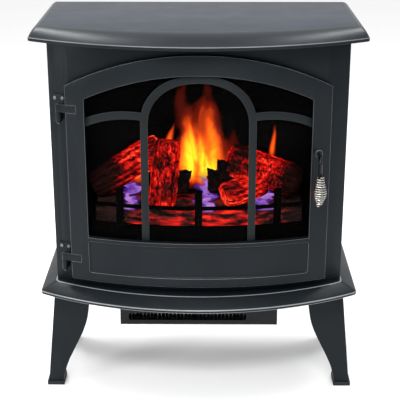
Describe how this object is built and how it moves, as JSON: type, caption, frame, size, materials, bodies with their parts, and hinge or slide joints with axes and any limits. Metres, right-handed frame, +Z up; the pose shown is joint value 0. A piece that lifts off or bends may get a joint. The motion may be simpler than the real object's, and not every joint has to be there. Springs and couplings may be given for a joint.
{
  "type": "electric fireplace",
  "caption": "Freestanding electric stove heater: bow-fronted cabinet on splayed legs, arched glazed door with a coil handle, log-effect firebox and a fan heater in its base.",
  "frame": {"origin": "on the floor under the middle of the footprint", "axes": "+X to the viewer's right, -Y out of the front, +Z up"},
  "size_m": [0.51, 0.3, 0.61],
  "materials": {
    "charcoal_enamel": "satin charcoal black heat-proof enamel on sheet and cast metal",
    "grille_enamel": "satin charcoal enamel, a shade lighter than the frame",
    "black_sheet": "matt black painted sheet steel",
    "cap_rubber": "matt black rubber",
    "zinc_steel": "bright zinc plated steel",
    "door_glazing": "clear tempered glass",
    "black_rod": "black lacquered steel rod",
    "nickel_coil": "polished nickel plated spring wire",
    "magnet": "ferrite magnet",
    "control_plastic": "matt black moulded plastic",
    "component_plastic": "natural nylon and cream phenolic",
    "circuit_board": "green circuit board with parts",
    "ember_resin": "translucent orange resin, lit from below",
    "log_resin": "painted fibre resin with a bark relief",
    "screen_acrylic": "dark diffusing acrylic with a flame image behind it",
    "reflector_foil": "polished foil petals on a steel spindle",
    "motor_steel": "plated steel cans",
    "wheel_aluminium": "bare aluminium"
  },
  "bodies": {
    "cabinet": {"top_plate": "charcoal_enamel", "side_panel_left": "charcoal_enamel", "side_panel_right": "charcoal_enamel", "front_fascia": "charcoal_enamel", "back_panel": "black_sheet", "base_plate": "charcoal_enamel", "leg_front_left": "charcoal_enamel", "leg_front_right": "charcoal_enamel", "leg_rear_left": "charcoal_enamel", "leg_rear_right": "charcoal_enamel", "foot_caps": "cap_rubber", "leg_bolts": "zinc_steel", "hinge_bracket_upper": "charcoal_enamel", "hinge_bracket_lower": "charcoal_enamel", "cabinet_screws": "zinc_steel", "door_magnet": "magnet", "control_panel": "control_plastic", "thermostat_body": "component_plastic", "dimmer_body": "component_plastic", "control_board": "circuit_board", "firebox_liner": "black_sheet", "log_tray": "black_sheet", "ember_bed": "ember_resin", "grate": "black_sheet", "log_left": "log_resin", "log_centre": "log_resin", "log_right": "log_resin", "log_front": "log_resin", "flame_screen": "screen_acrylic", "rotor_motor": "motor_steel", "rotor_bush": "component_plastic", "led_boards": "circuit_board", "heater_box": "black_sheet", "outlet_grille": "black_sheet", "blower_motor": "motor_steel", "blower_bush": "component_plastic", "heating_element": "wheel_aluminium", "thermal_cutout": "motor_steel", "cord_gland": "control_plastic"},
    "door": {"door_frame": "charcoal_enamel", "door_grille": "grille_enamel", "door_glass": "door_glazing", "glass_clips": "zinc_steel", "clip_screws": "zinc_steel", "hinge_arm_upper": "charcoal_enamel", "hinge_arm_lower": "charcoal_enamel", "hinge_pins": "zinc_steel", "handle_bush": "black_rod", "strike_plate": "zinc_steel"},
    "handle": {"handle_rod": "black_rod", "handle_grip": "nickel_coil", "handle_cam": "zinc_steel"},
    "thermostat_dial": {"thermostat_knob": "control_plastic"},
    "dimmer_dial": {"dimmer_knob": "control_plastic"},
    "flame_rocker": {"flame_switch": "control_plastic"},
    "low_rocker": {"low_heat_switch": "control_plastic"},
    "high_rocker": {"high_heat_switch": "control_plastic"},
    "reflector": {"flame_rotor": "reflector_foil"},
    "blower": {"blower_wheel": "wheel_aluminium"}
  },
  "joints": [
    {"name": "door_hinge", "type": "hinge", "parent": "cabinet", "child": "door", "pos_m": [-0.214, -0.07398, 0.481], "axis": [0, 0, -1], "range_deg": [0, 105]},
    {"name": "handle_turn", "type": "hinge", "parent": "door", "child": "handle", "pos_m": [0.184, -0.11948, 0.419], "axis": [0, -1, 0], "range_deg": [0, 90]},
    {"name": "thermostat_turn", "type": "hinge", "parent": "cabinet", "child": "thermostat_dial", "pos_m": [-0.078, -0.074, 0.237], "axis": [0, 1, 0], "range_deg": [0, 270]},
    {"name": "dimmer_turn", "type": "hinge", "parent": "cabinet", "child": "dimmer_dial", "pos_m": [0.078, -0.074, 0.237], "axis": [0, 1, 0], "range_deg": [0, 270]},
    {"name": "flame_rock", "type": "hinge", "parent": "cabinet", "child": "flame_rocker", "pos_m": [-0.024, -0.07, 0.237], "axis": [-1, 0, 0], "range_deg": [0, 16]},
    {"name": "low_heat_rock", "type": "hinge", "parent": "cabinet", "child": "low_rocker", "pos_m": [0, -0.07, 0.237], "axis": [-1, 0, 0], "range_deg": [0, 16]},
    {"name": "high_heat_rock", "type": "hinge", "parent": "cabinet", "child": "high_rocker", "pos_m": [0.024, -0.07, 0.237], "axis": [-1, 0, 0], "range_deg": [0, 16]},
    {"name": "reflector_spin", "type": "hinge", "parent": "cabinet", "child": "reflector", "pos_m": [0, 0.035, 0.3072], "axis": [1, 0, 0], "continuous": true},
    {"name": "blower_spin", "type": "hinge", "parent": "cabinet", "child": "blower", "pos_m": [-0.0185, 0.0115, 0.1492], "axis": [1, 0, 0], "continuous": true}
  ]
}
